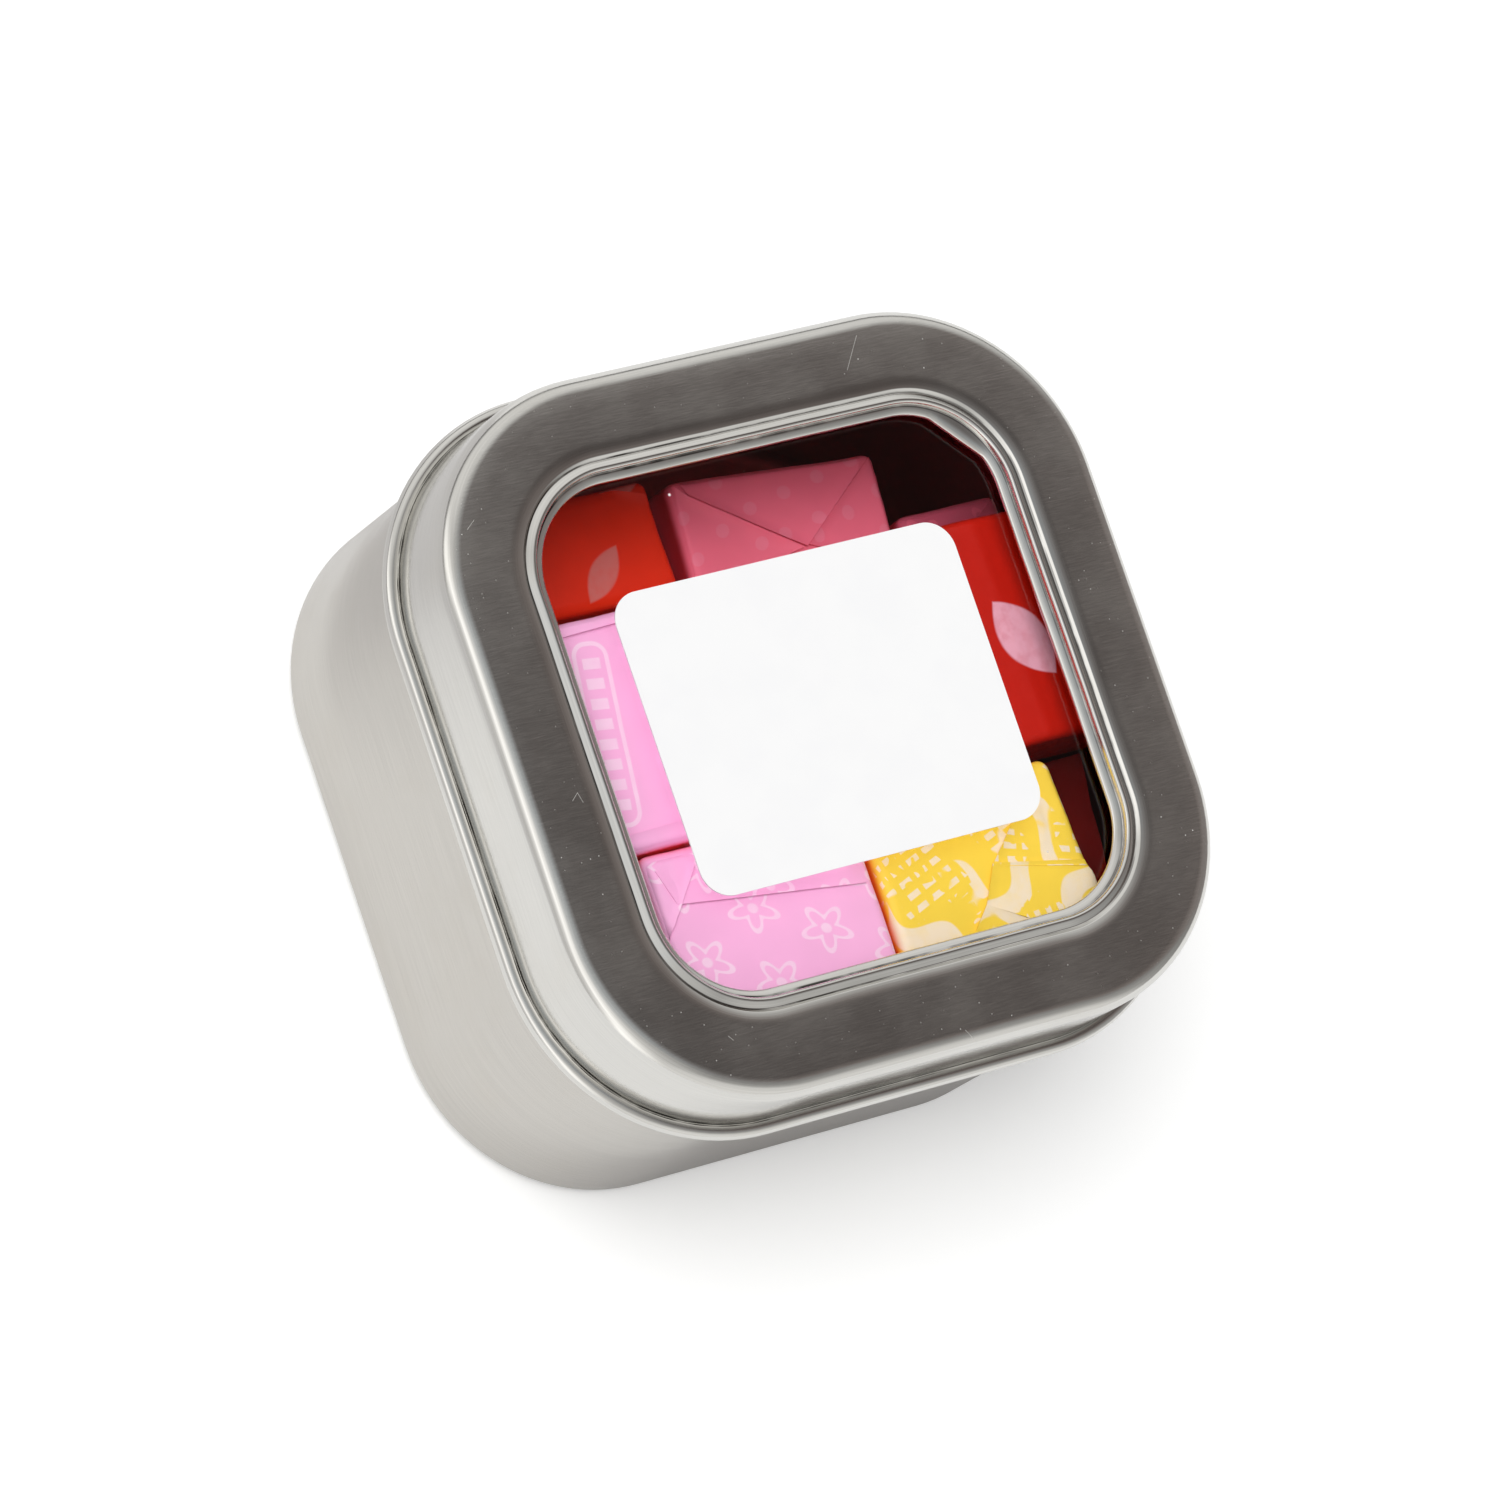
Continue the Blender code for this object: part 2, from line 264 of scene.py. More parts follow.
def make_lid_frame(material):
    """Lid of one drawn sheet: rolled window border, face, shoulder, skirt and rolled bead."""
    start = (BORDER_OUT, TOP)
    inward = walk(start, 180, BORDER_MOVES, 1)
    drop = TOP - SHOULDER_RADIUS - lid_low.z - BEAD_RADIUS
    outward = walk(start, 0, (
        (SKIRT_OUTSIDE - SHOULDER_RADIUS - BORDER_OUT,), (SHOULDER_RADIUS, -90), (drop,),
        (BEAD_RADIUS - SHEET, 270 + BEAD_OVERLAP)), -1)
    shown, hidden = (near[:0:-1] + far for near, far in zip(inward, outward))
    shape = bmesh.new()
    join_rings(shape, sweep(shape, shown + hidden[::-1], lid_wobble), closed=True)
    add_piece("lid_sheet", shape, material, "lid", "lid_frame")


def make_tin_body(material):
    """Seamless drawn cup with a recessed base panel and an inward roll along its mouth."""
    radii = RECESS_OUTER_RADIUS + RECESS_INNER_RADIUS
    turn = math.acos(1 - RECESS_DEPTH / radii)
    start = (BODY_OUTSIDE - FOOT_RADIUS - FOOT_WIDTH - radii * math.sin(turn), RECESS_DEPTH)
    wall = TOP - SHOULDER_RADIUS - FOOT_RADIUS
    shown, hidden = walk(start, 0, (
        (RECESS_INNER_RADIUS, -math.degrees(turn)), (RECESS_OUTER_RADIUS, math.degrees(turn)),
        (FOOT_WIDTH,), (FOOT_RADIUS, 90), (wall,), (RIM_RADIUS, RIM_TURN)), 1)
    shape = bmesh.new()
    rings = sweep(shape, shown + hidden[::-1], still)
    join_rings(shape, rings, closed=False)
    shape.faces.new(rings[0])
    shape.faces.new(rings[-1])
    add_piece("body_sheet", shape, material, "tin", "tin_body")


def add_object(name, data):
    """A new object in the scene."""
    made = bpy.data.objects.new(name, data)
    bpy.context.collection.objects.link(made)
    return made


def add_piece(name, shape, material, body, replaced, sharp=SHEET_SHARP, place=Matrix()):
    """Turn a bmesh into a smoothly shaded piece that stands for a node and rides on its body."""
    bmesh.ops.recalc_face_normals(shape, faces=shape.faces)
    mesh = bpy.data.meshes.new(name)
    shape.to_mesh(mesh)
    shape.free()
    mesh.shade_smooth()
    mesh.set_sharp_from_angle(angle=math.radians(sharp))
    mesh.materials.append(material)
    piece = add_object(name, mesh)
    piece.matrix_world = place
    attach(piece, body)
    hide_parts(replaced)
    return piece


def make_label(material):
    """Blank paper label: a thin sheet with rounded corners."""
    half = (label_high - label_low) / 2
    middle = (label_high + label_low) / 2
    shape = bmesh.new()
    outline = []
    for quarter in range(4):
        for point in corner_arc(quarter, half.x - LABEL_CORNER_RADIUS,
                                half.y - LABEL_CORNER_RADIUS, LABEL_CORNER_RADIUS):
            outline.append(shape.verts.new(middle + point - Vector((0, 0, half.z))))
    under = shape.faces.new(outline)
    raised = bmesh.ops.extrude_face_region(shape, geom=[under])
    top = [part for part in raised["geom"] if isinstance(part, bmesh.types.BMVert)]
    bmesh.ops.translate(shape, verts=top, vec=(0, 0, 2 * half.z))
    label = add_piece("label_sheet", shape, material, "lid", "window_label")
    label.visible_shadow = False  # thin paper lets enough light through to the chews


# Chews


def lattice(half, cells):
    """Places along one side of a block, closer together over its rounded ends."""
    flat = half - CHEW_ROUNDING
    angles = [math.pi / 2 * step / ROUND_STEPS for step in range(ROUND_STEPS)]
    low = [-half + CHEW_ROUNDING * (1 - math.cos(angle)) for angle in angles]
    middle = [-flat + 2 * flat * step / cells for step in range(cells + 1)]
    return low + middle + [-place for place in reversed(low)]


def to_line(spot, start, end):
    """How far a flat spot lies from a line between two others."""
    way = Vector(end) - Vector(start)
    past = Vector(spot) - Vector(start)
    share = min(1.0, max(0.0, past.dot(way) / way.length_squared))
    return (past - way * share).length


SIDE_WAYS = {"top": Vector((0, 0, 1)), "far": Vector((0, 1, 0))}


class Block:
    """A wrapped block about its own middle: x across, y along the wrapper's tube, z through it.

    Its creases are on the upper side.
    """

    def __init__(self, half, seed, upper, creases, form):
        self.half = half
        self.seed = Vector((seed * 0.37, seed * 0.21, seed * 0.53))
        self.upper = upper
        self.creases = creases
        self.form = form
        self.shape = bmesh.new()
        self.flat = self.shape.loops.layers.uv.new("print")

    def reach(self, side):
        """Half lengths of a side."""
        return self.half.xy if side == "top" else self.half.xz

    def skin(self, point, height=0.0):
        """Where a point of the box round the block lies on its wrapper, height above it."""
        inner = Vector([max(CHEW_ROUNDING - h, min(h - CHEW_ROUNDING, c))
                        for c, h in zip(point, self.half)])
        out = (point - inner).normalized()
        spot = inner + out * CHEW_ROUNDING
        relief = -CHEW_INSET
        for count, deep in CHEW_WAVES:
            relief += deep * noise.noise(spot * count + self.seed)
        faced = out.dot(SIDE_WAYS[self.upper])
        if faced > 0.05:
            reach = self.reach(self.upper)
            for start, end, deep, width in self.creases:
                ends = [(a * reach.x, b * reach.y) for a, b in (start, end)]
                near = to_line(spot.xy if self.upper == "top" else spot.xz, *ends)
                relief -= deep * HUNDREDTH * faced * math.exp(-(near / width / HUNDREDTH) ** 2)
        spot = spot + out * (relief + height)
        return self.form(spot, self.half) if self.form else spot

    def face(self, verts, places):
        """A face whose print coordinates are given."""
        face = self.shape.faces.new(verts)
        for loop, place in zip(face.loops, places):
            loop[self.flat].uv = place
        return face

    def unrolled(self, point, axis):
        """Print coordinates of a point on the side square to an axis."""
        fall = self.half.z - point.z
        place = [point.x, point.y]
        if axis < 2:
            place[axis] += math.copysign(fall, point[axis])
        return place

    def fill(self, cells):
        """The block's own surface."""
        lines = [lattice(half, cells) for half in self.half]
        verts = {}

        def vert(place):
            if place not in verts:
                point = Vector([line[index] for line, index in zip(lines, place)])
                verts[place] = (self.shape.verts.new(self.skin(point)), point)
            return verts[place]

        for axis in range(3):
            first, second = [other for other in range(3) if other != axis]
            for end in (0, len(lines[axis]) - 1):
                for a in range(len(lines[first]) - 1):
                    for b in range(len(lines[second]) - 1):
                        corners = []
                        for step_a, step_b in ((0, 0), (1, 0), (1, 1), (0, 1)):
                            place = [0, 0, 0]
                            place[axis] = end
                            place[first] = a + step_a
                            place[second] = b + step_b
                            corners.append(vert(tuple(place)))
                        self.face([corner[0] for corner in corners],
                                  [self.unrolled(corner[1], axis) for corner in corners])

    def flap(self, side, corners, level, turn=0.0, lift=0.0):
        """A folded layer of the wrapper. Its corners are shares of the side's half lengths.

        side is top, far or near: the block's z side, or its ends along y. turn is how far the
        layer's print is turned, in degrees, and lift is how far its first corner stands up.
        """
        across, along, through = self.half
        reach = self.reach(side)
        corners = [(a * reach[0], b * reach[1]) for a, b in corners]
        free = [(start, end) for start, end in zip(corners, corners[1:] + corners[:1])
                if max(abs(start[i] + end[i]) / 2 / reach[i] for i in (0, 1)) < FREE_WITHIN]
        layer = bmesh.new()
        layer.faces.new([layer.verts.new((a, b, 0)) for a, b in corners])
        bmesh.ops.triangulate(layer, faces=layer.faces)
        bmesh.ops.subdivide_edges(layer, edges=layer.edges, cuts=FLAP_CUTS, use_grid_fill=True)
        spin = Matrix.Rotation(math.radians(turn), 2)
        upper, lower, places = {}, {}, {}
        for vert in layer.verts:
            spot = vert.co.xy
            point = Vector({"top": (spot.x, spot.y, through), "far": (spot.x, along, spot.y),
                            "near": (spot.x, -along, spot.y)}[side])
            inset = min(reach[0] - abs(spot.x), reach[1] - abs(spot.y))
            fade = min(1.0, max(0.0, inset / TUCK_WIDTH))
            height = (level * LAYER + PAPER) * fade - TUCK_DEPTH * (1 - fade)
            near = min((to_line(spot, *edge) for edge in free), default=LOOSE_WIDTH)
            height += LOOSE_EDGE * max(0.0, 1 - near / LOOSE_WIDTH) ** 2 * fade
            height += lift * max(0.0, 1 - (spot - Vector(corners[0])).length / across * 2) ** 2
            upper[vert] = self.shape.verts.new(self.skin(point, height))
            lower[vert] = self.shape.verts.new(self.skin(point, height - PAPER))
            places[vert] = spin @ spot + Vector(PRINT_SHIFT) * (level + 1)
        for face in layer.faces:
            self.face([upper[vert] for vert in face.verts], [places[vert] for vert in face.verts])
            self.face([lower[vert] for vert in reversed(face.verts)],
                      [places[vert] for vert in reversed(face.verts)])
        for edge in layer.edges:
            if edge.is_boundary:
                a, b = edge.verts
                self.face([upper[a], upper[b], lower[b], lower[a]],
                          [places[vert] for vert in (a, b, b, a)])
        layer.free()

    def ends(self):
        """Plain folds that close both ends of the tube, the last one a triangle."""
        for side, apex in (("far", 0.42), ("near", -0.3)):
            self.flap(side, ((1, 1), (1, -1), (0.55, -1), (0.2, -0.5)), 0)
            self.flap(side, ((-1, -1), (-1, 1), (-0.1, -0.55), (-0.35, -1)), 0, 40)
            self.flap(side, ((apex, -0.78), (1, 1), (-1, 1)), 1, 90)


# How a chew lies: the directions of its own x and y, and which of its sides is up
LIES = {
    "flat": ((1, 0, 0), (0, 1, 0), "top"),
    "flat_across": ((0, 1, 0), (-1, 0, 0), "top"),
    "faces_x": ((0, 1, 0), (0, 0, 1), "far"),
    "faces_y": ((-1, 0, 0), (0, 0, 1), "far"),
}


def shade_by_depth(piece, depths):
    """Give each vertex how far it lies below its chew's top, for the wrapper's painted shade."""
    depth = piece.data.attributes.new("depth", "FLOAT", "POINT")
    depth.data.foreach_set("value", depths)


def make_chew(node, lies, material, slot, seed, cells, folds,
              creases=(), form=None, turn=0.0, size=None):
    """One wrapped chew in the place of its node."""
    low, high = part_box(node)
    size = size or high - low
    own_x, own_y, upper = LIES[lies]
    rotation = Matrix((own_x, own_y, Vector(own_x).cross(Vector(own_y)))).transposed()
    half = Vector([abs(length) / 2 for length in rotation.transposed() @ Vector(size)])
    block = Block(half, seed, upper, creases, form)
    block.fill(cells)
    for fold in folds:
        block.flap(upper, *fold)
    if not folds:
        block.ends()
    place = (Matrix.Translation((low + high) / 2)
             @ Matrix.Rotation(math.radians(turn), 4, "Z") @ rotation.to_4x4())
    chew = add_piece(node + "_wrapper", block.shape, material, "tin", node,
                     WRAPPER_SHARP, place)
    rise = rotation.transposed() @ Vector((0, 0, 1))
    shade_by_depth(chew, [size.z / 2 - vert.co.dot(rise) for vert in chew.data.vertices])


def make_loose_flap(material):
    """Loose end of a hidden chew's wrapper, seen through the gap beside the yellow chew."""
    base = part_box("chew_front_right_mid")[1].z
    inner_far, outer_far, outer_near, inner_near = (Vector((x, y, base)) for x, y in LOOSE_CORNERS)
    count, height = LOOSE_WAVES
    shape = bmesh.new()
    rows = []
    for step in range(LOOSE_STEPS + 1):
        share = step / LOOSE_STEPS
        far, near = inner_far.lerp(outer_far, share), inner_near.lerp(outer_near, share)
        rows.append([])
        for aside in range(LOOSE_STEPS + 1):
            point = far.lerp(near, aside / LOOSE_STEPS)
            uneven = height * share * noise.noise(point * count)
            point.z += 2 * PAPER + LOOSE_CURL * share ** 2 + uneven
            rows[-1].append(shape.verts.new(point))
    for left, right in zip(rows, rows[1:]):
        for index in range(LOOSE_STEPS):
            shape.faces.new((left[index], left[index + 1], right[index + 1], right[index]))
    bmesh.ops.solidify(shape, geom=list(shape.faces), thickness=PAPER)
    flap = add_piece("loose_wrapper_end", shape, material, "tin",
                     "chew_front_right_mid")
    # Painted shade over the whole flap
    shade_by_depth(flap, [LOOSE_DEPTH] * len(flap.data.vertices))
    flap.data.uv_layers.new(name="print")


def smooth(value, low, high):
    """0 at low, 1 at high and beyond, and an even curve between."""
    share = min(1.0, max(0.0, (value - low) / (high - low)))
    return share * share * (3 - 2 * share)


def narrow_behind_seam(spot, half):
    """The yellow chew's right side draws in behind its seam."""
    x, y = spot.x / half.x, spot.y / half.y
    pull = smooth(y, -0.05, 0.08) * (0.0004 + 0.0006 * max(0.0, y))
    return spot - Vector((pull * smooth(x, 0.3, 1.0), 0, 0))


def lean_back(spot, half):
    """The pink chew's back side bulges towards its neighbour."""
    y, z = spot.y / half.y, spot.z / half.z
    return spot + Vector((0, 0.0004 * smooth(y, 0.9, 1.0) * smooth(z, 0.99, 0.8), 0))


def slump_to_right(spot, half):
    """The red chew on top sags past its middle, towards the tin's right wall."""
    far = max(0.0, -spot.y / half.y - 0.06)
    return spot - Vector((0, 0, 0.0024 * far ** 2)) * (spot.z > 0)


# Folds that show on the upper side: corners, level, turn of the print, lift of the first corner
YELLOW_FOLDS = (
    (((0.04, 0.23), (0.35, 0.53), (0.83, 1), (1, 1), (1, 0.02)), 0, 35),
    (((0.05, 0.25), (0.93, 0.09), (1, 0.08), (1, -0.73), (-0.13, -0.07)), 1, -75),
    (((-0.14, -0.07), (-1, -1), (1, -1), (1, -0.75)), 2, 150, 0.0001),
)
# Creases: start, end, depth (below zero for a ridge) and width, in hundredths of a millimetre
HUNDREDTH = 0.00001
YELLOW_CREASES = (
    ((0.72, 0.85), (0.74, 0.5), 7, 20),
    ((0.74, 0.5), (0.69, 0.18), 7, 20),
    ((-0.62, 0.1), (-0.56, -0.24), 5, 20),
    ((0.2, 0.38), (0.62, 0.3), -6, 30),
    ((-0.14, -0.07), (-0.55, 0.45), 4, 30),
    ((-0.95, 0.62), (-0.4, 0.7), 5, 30),
)
PINK_FOLDS = (
    (((-0.82, 0.58), (1, 0.35), (1, 1), (-0.93, 1), (-0.91, 0.87)), 0, 60),
    (((-0.55, 0.86), (-1, 0.3), (-1, 1), (-0.62, 1)), 1, 20),
)
PINK_CREASES = (
    ((-0.8, 0.95), (-0.79, 0.72), 7, 25),
    ((-0.97, 0.62), (-0.79, 0.4), 6, 25),
    ((-0.94, 0.86), (-0.8, 0.5), -8, 25),
    ((0.1, 0.3), (0.55, -0.35), 4, 40),
    ((-0.6, 0.2), (-0.2, -0.5), -4, 40),
)
LEFT_FOLDS = (
    (((-1, -0.86), (1, -0.8), (1, -1), (-1, -1)), 0, 30),
    (((-1, 0.84), (1, 0.9), (1, 1), (-1, 1)), 0, 30),
)
LEFT_CREASES = (
    ((-0.9, 0.8), (0.9, 0.86), 12, 35),
    ((-0.2, 0.72), (0.5, 0.8), 6, 30),
    ((0.15, 0.6), (0.25, -0.7), 4, 40),
    ((-0.3, -0.6), (0.6, -0.5), -5, 30),
)
ROSE_FOLDS = (
    (((-0.1, -0.46), (1, -1), (1, 1), (0.84, 0.68)), 0, 20),
    (((-0.14, -0.42), (-1, -1), (-1, 1), (-0.79, 0.66)), 0, 70),
    (((-0.12, -0.46), (-0.79, 0.68), (-0.86, 1), (0.92, 1), (0.84, 0.7)), 1, 0, 0.0001),
)
ROSE_CREASES = (
    ((0.84, 0.68), (-0.1, -0.46), -9, 25),
    ((-0.79, 0.68), (-0.14, -0.42), -7, 25),
    ((0.3, 0.5), (0.05, -0.1), 5, 30),
)
RED_BACK_FOLDS = (
    (((-0.57, 0.97), (-0.94, 0.72), (-1, -1), (1, -1), (1, 1), (-0.5, 1)), 0, 255),
)
RED_BACK_CREASES = (
    ((-0.55, 0.9), (-0.3, -0.8), 6, 30),
    ((0.3, 0.7), (0.55, -0.4), -5, 30),
)
RED_RIGHT_FOLDS = (
    (((-1, 0.97), (1, 0.97), (1, 1), (-1, 1)), 0, 30),
)
RED_RIGHT_CREASES = (
    ((-0.95, -0.1), (0.95, -0.03), -7, 50),
    ((-0.6, 0.8), (-0.3, 0.1), 5, 40),
)


# Materials


class Net:
    """Short calls for building the nodes of one material or world."""

    def __init__(self, data):
        data.use_nodes = True
        self.data = data
        self.tree = data.node_tree

    def feed(self, socket, value):
        if isinstance(value, bpy.types.NodeSocket):
            self.tree.links.new(value, socket)
        elif socket.type == "RGBA":
            socket.default_value = (*value, 1.0)
        else:
            socket.default_value = value

    def node(self, kind, inputs=(), **settings):
        made = self.tree.nodes.new("ShaderNode" + kind)
        for name, value in settings.items():
            setattr(made, name, value)
        for name, value in dict(inputs).items():
            self.feed(made.inputs[name], value)
        return made

    def place(self, kind="Object"):
        return self.node("TexCoord").outputs[kind]

    def scaled(self, vector, x, y, z):
        return self.vector("MULTIPLY", vector, (x, y, z))

    def turned(self, vector, degrees, shift=(0, 0, 0)):
        return self.node("Mapping", {"Vector": vector, "Rotation": (0, 0, math.radians(degrees)),
                                     "Location": shift}).outputs["Vector"]

    def maths(self, operation, *values):
        return self.node("Math", dict(enumerate(values)), operation=operation).outputs[0]

    def plus(self, first, second):
        return self.maths("ADD", first, second)

    def minus(self, first, second):
        return self.maths("SUBTRACT", first, second)

    def times(self, first, second):
        return self.maths("MULTIPLY", first, second)

    def larger(self, first, second):
        return self.maths("MAXIMUM", first, second)

    def unsigned(self, value):
        return self.maths("ABSOLUTE", value)

    def vector(self, operation, *values):
        made = self.node("VectorMath", dict(enumerate(values)), operation=operation)
        return made.outputs["Value" if operation in ("LENGTH", "DOT_PRODUCT") else "Vector"]

    def length(self, vector):
        return self.vector("LENGTH", vector)

    def noise(self, vector, scale, detail=2.0, roughness=0.5, **settings):
        return self.node("TexNoise", {"Vector": vector, "Scale": scale, "Detail": detail,
                                      "Roughness": roughness}, **settings).outputs["Fac"]

    def spread(self, value, low, high, to_low=0.0, to_high=1.0):
        """A number taken smoothly from one range to another."""
        return self.node("MapRange", {"Value": value, "From Min": low, "From Max": high,
                                      "To Min": to_low, "To Max": to_high},
                         interpolation_type="SMOOTHSTEP").outputs["Result"]

    def mix(self, share, first, second):
        """Mix of two colours. The numbers are those of the node's colour sockets."""
        return self.node("Mix", {0: share, 6: first, 7: second}, data_type="RGBA").outputs[2]

    def blend(self, share, first, second):
        """Mix of two numbers."""
        return self.plus(self.times(self.minus(1.0, share), first), self.times(share, second))

    def axes(self, vector):
        split = self.node("SeparateXYZ", {"Vector": vector})
        return split.outputs["X"], split.outputs["Y"], split.outputs["Z"]

    def joined(self, x, y, z=0.0):
        return self.node("CombineXYZ", {"X": x, "Y": y, "Z": z}).outputs["Vector"]

    def bump(self, height, strength, distance, normal=None):
        inputs = {"Height": height, "Strength": strength, "Distance": distance}
        if normal:
            inputs["Normal"] = normal
        return self.node("Bump", inputs).outputs["Normal"]

    def principled(self, **values):
        """The Principled shader, with values or links for some of its inputs."""
        shader = self.tree.nodes["Principled BSDF"]
        for name, value in values.items():
            self.feed(shader.inputs[name.replace("_", " ")], value)
        return shader

    def surface(self, shader):
        self.tree.links.new(shader.outputs[0], self.tree.nodes["Material Output"].inputs["Surface"])


def new_material(name):
    return Net(bpy.data.materials.new(name))


def shaded(tone, share):
    return [share * part for part in tone]


def border_place(moves):
    """How far out and how high the window's border lies after its first moves."""
    return walk((BORDER_OUT, TOP), 180, BORDER_MOVES[:moves], 1)[0][-1]


# Tinplate
LID_TONE = (0.78, 0.77, 0.74)
BODY_TONE = (0.66, 0.637, 0.6)
HAIR_TONE = (0.97, 0.95, 0.92)
MARK_TONE = (0.9, 0.88, 0.84)
CREVICE_SHADE_TONE = (0.05, 0.045, 0.04)
CLOUD_SHARES = (0.92, 0.9, 0.86)  # of red, green and blue that are left where it is duller
# Lining inside the body: painted shade for the dim, reddish inside of the tin
INSIDE_SHADE_TONE = (0.52, 0.13, 0.13)
INSIDE_ROUGHNESS = 0.45
FACE_STARTS = (0.0226, 0.0236)  # how far out the looks of the lid's face fade in
FACE_ENDS = (0.0284, 0.0272)  # and out again
CREVICES = (  # how far out and how high, and how wide its painted shade is
    (SKIRT_OUTSIDE, lid_low.z + 2 * BEAD_RADIUS, 0.00011),
    (*border_place(GROOVE_MOVES), 0.00009),
    (*border_place(CREASE_MOVES), 0.00015),
)
SCRATCHES = (  # on the lid's face, from end to end
    ((-0.0245, -0.003), (-0.0239, -0.0025)), ((-0.0239, -0.0025), (-0.0237, -0.0033)),
    ((0.0121, 0.027), (0.0103, 0.0245)), ((0.0011, -0.0275), (0.0017, -0.0283)),
    ((-0.0181, -0.0236), (-0.0184, -0.0232)), ((-0.0256, 0.019), (-0.0248, 0.0196)),
)
SCRATCH_WIDTH = 0.00004


def scratch(net, place, start, end):
    """1 along a straight scratch, 0 away from it, seen from above."""
    way = Vector((end[0] - start[0], end[1] - start[1], 0))
    past = net.vector("SUBTRACT", net.scaled(place, 1, 1, 0), (start[0], start[1], 0))
    along = net.vector("DOT_PRODUCT", past, tuple(way / way.length_squared))
    along = net.maths("MINIMUM", net.larger(along, 0.0), 1.0)
    nearest = net.vector("MULTIPLY", net.joined(along, along), tuple(way))
    return net.spread(net.length(net.vector("SUBTRACT", past, nearest)), SCRATCH_WIDTH, 0.0)


def cell_dots(net, scale, radius, chance, **settings):
    """1 in round dots, 0 between them. Only cells with a high random number have one."""
    cells = net.node("TexVoronoi", {"Vector": net.place(), "Scale": scale}, **settings)
    return net.times(net.spread(cells.outputs["Distance"], *radius),
                     net.spread(net.axes(cells.outputs["Color"])[0], *chance))


def ring_place(net, place):
    """How far out and how high a place lies on the tin's rounded square."""
    past = net.vector("SUBTRACT", net.vector("ABSOLUTE", place), (CORNER_CENTRE,) * 3)
    past = net.scaled(net.vector("MAXIMUM", past, (0, 0, 0)), 1, 1, 0)
    return net.plus(net.length(past), CORNER_CENTRE), net.axes(place)[2]


def inside_cup(net, out, height):
    """1 on the body's inner face below its rolled mouth, 0 elsewhere."""
    foot = BODY_OUTSIDE - FOOT_RADIUS
    ring = foot - FOOT_WIDTH
    recess = net.spread(out, ring - 0.0008, ring, RECESS_DEPTH, 0.0)
    past_out = net.larger(net.minus(out, foot), 0.0)
    past_down = net.larger(net.minus(FOOT_RADIUS, net.minus(height, recess)), 0.0)
    far = net.length(net.joined(past_out, past_down))
    inner = net.spread(far, FOOT_RADIUS - 0.4 * SHEET, FOOT_RADIUS - 0.6 * SHEET)
    mouth = TOP - SHOULDER_RADIUS
    return net.times(net.spread(height, mouth, mouth - 0.0001), inner)


def streaks_of(net, place, out, height, on_face):
    """Rolled grain from side to side on the face, draw lines round the bends and walls."""
    grain = net.noise(net.scaled(place, 700, 8500, 8500), 1.0, 3.0, 0.65)
    x, y, _ = net.axes(place)
    around = net.joined(net.times(out, 9000.0), net.times(height, 9000.0),
                        net.times(net.plus(x, y), 120.0))
    return net.blend(on_face, net.noise(around, 1.0, 2.0, 0.5), grain)


def hairs_of(net, place, on_face):
    """Pale hairs along the grain and pale glints, both on the face."""
    hairs = net.noise(net.scaled(place, 420, 11000, 11000), 1.0, 1.0, 0.5)
    hairs = net.spread(hairs, 0.66, 0.74, 0.0, 0.5)
    glints = net.spread(net.noise(place, 7000.0, 1.0), 0.66, 0.78, 0.0, 0.35)
    return net.times(net.larger(hairs, glints), on_face)


def marks_of(net, place, on_face, scratches):
    """Specks in patches on the face, and scratches."""
    specks = cell_dots(net, 1300.0, (0.085, 0.04), (0.72, 1.15), voronoi_dimensions="2D")
    patches = net.spread(net.noise(place, 90.0, 1.0), 0.4, 0.66, 0.45, 1.0)
    mark = net.times(net.times(specks, patches), on_face)
    for start, end in scratches:
        mark = net.larger(mark, net.times(scratch(net, place, start, end), 0.5))
    return mark


def crevice_shade(net, place, out, height, crevice):
    """Painted shade along a crevice round the tin, in patches, a little less of it at the right."""
    crevice_out, crevice_height, width = crevice
    far = net.length(net.joined(net.minus(out, crevice_out), net.minus(height, crevice_height)))
    patches = net.spread(net.noise(place, 300.0, 3.0), 0.3, 0.62)
    left = net.spread(net.axes(place)[0], 0.01, -0.015, 0.6, 1.0)
    return net.times(net.times(net.spread(far, width, 0.4 * width), patches), left)


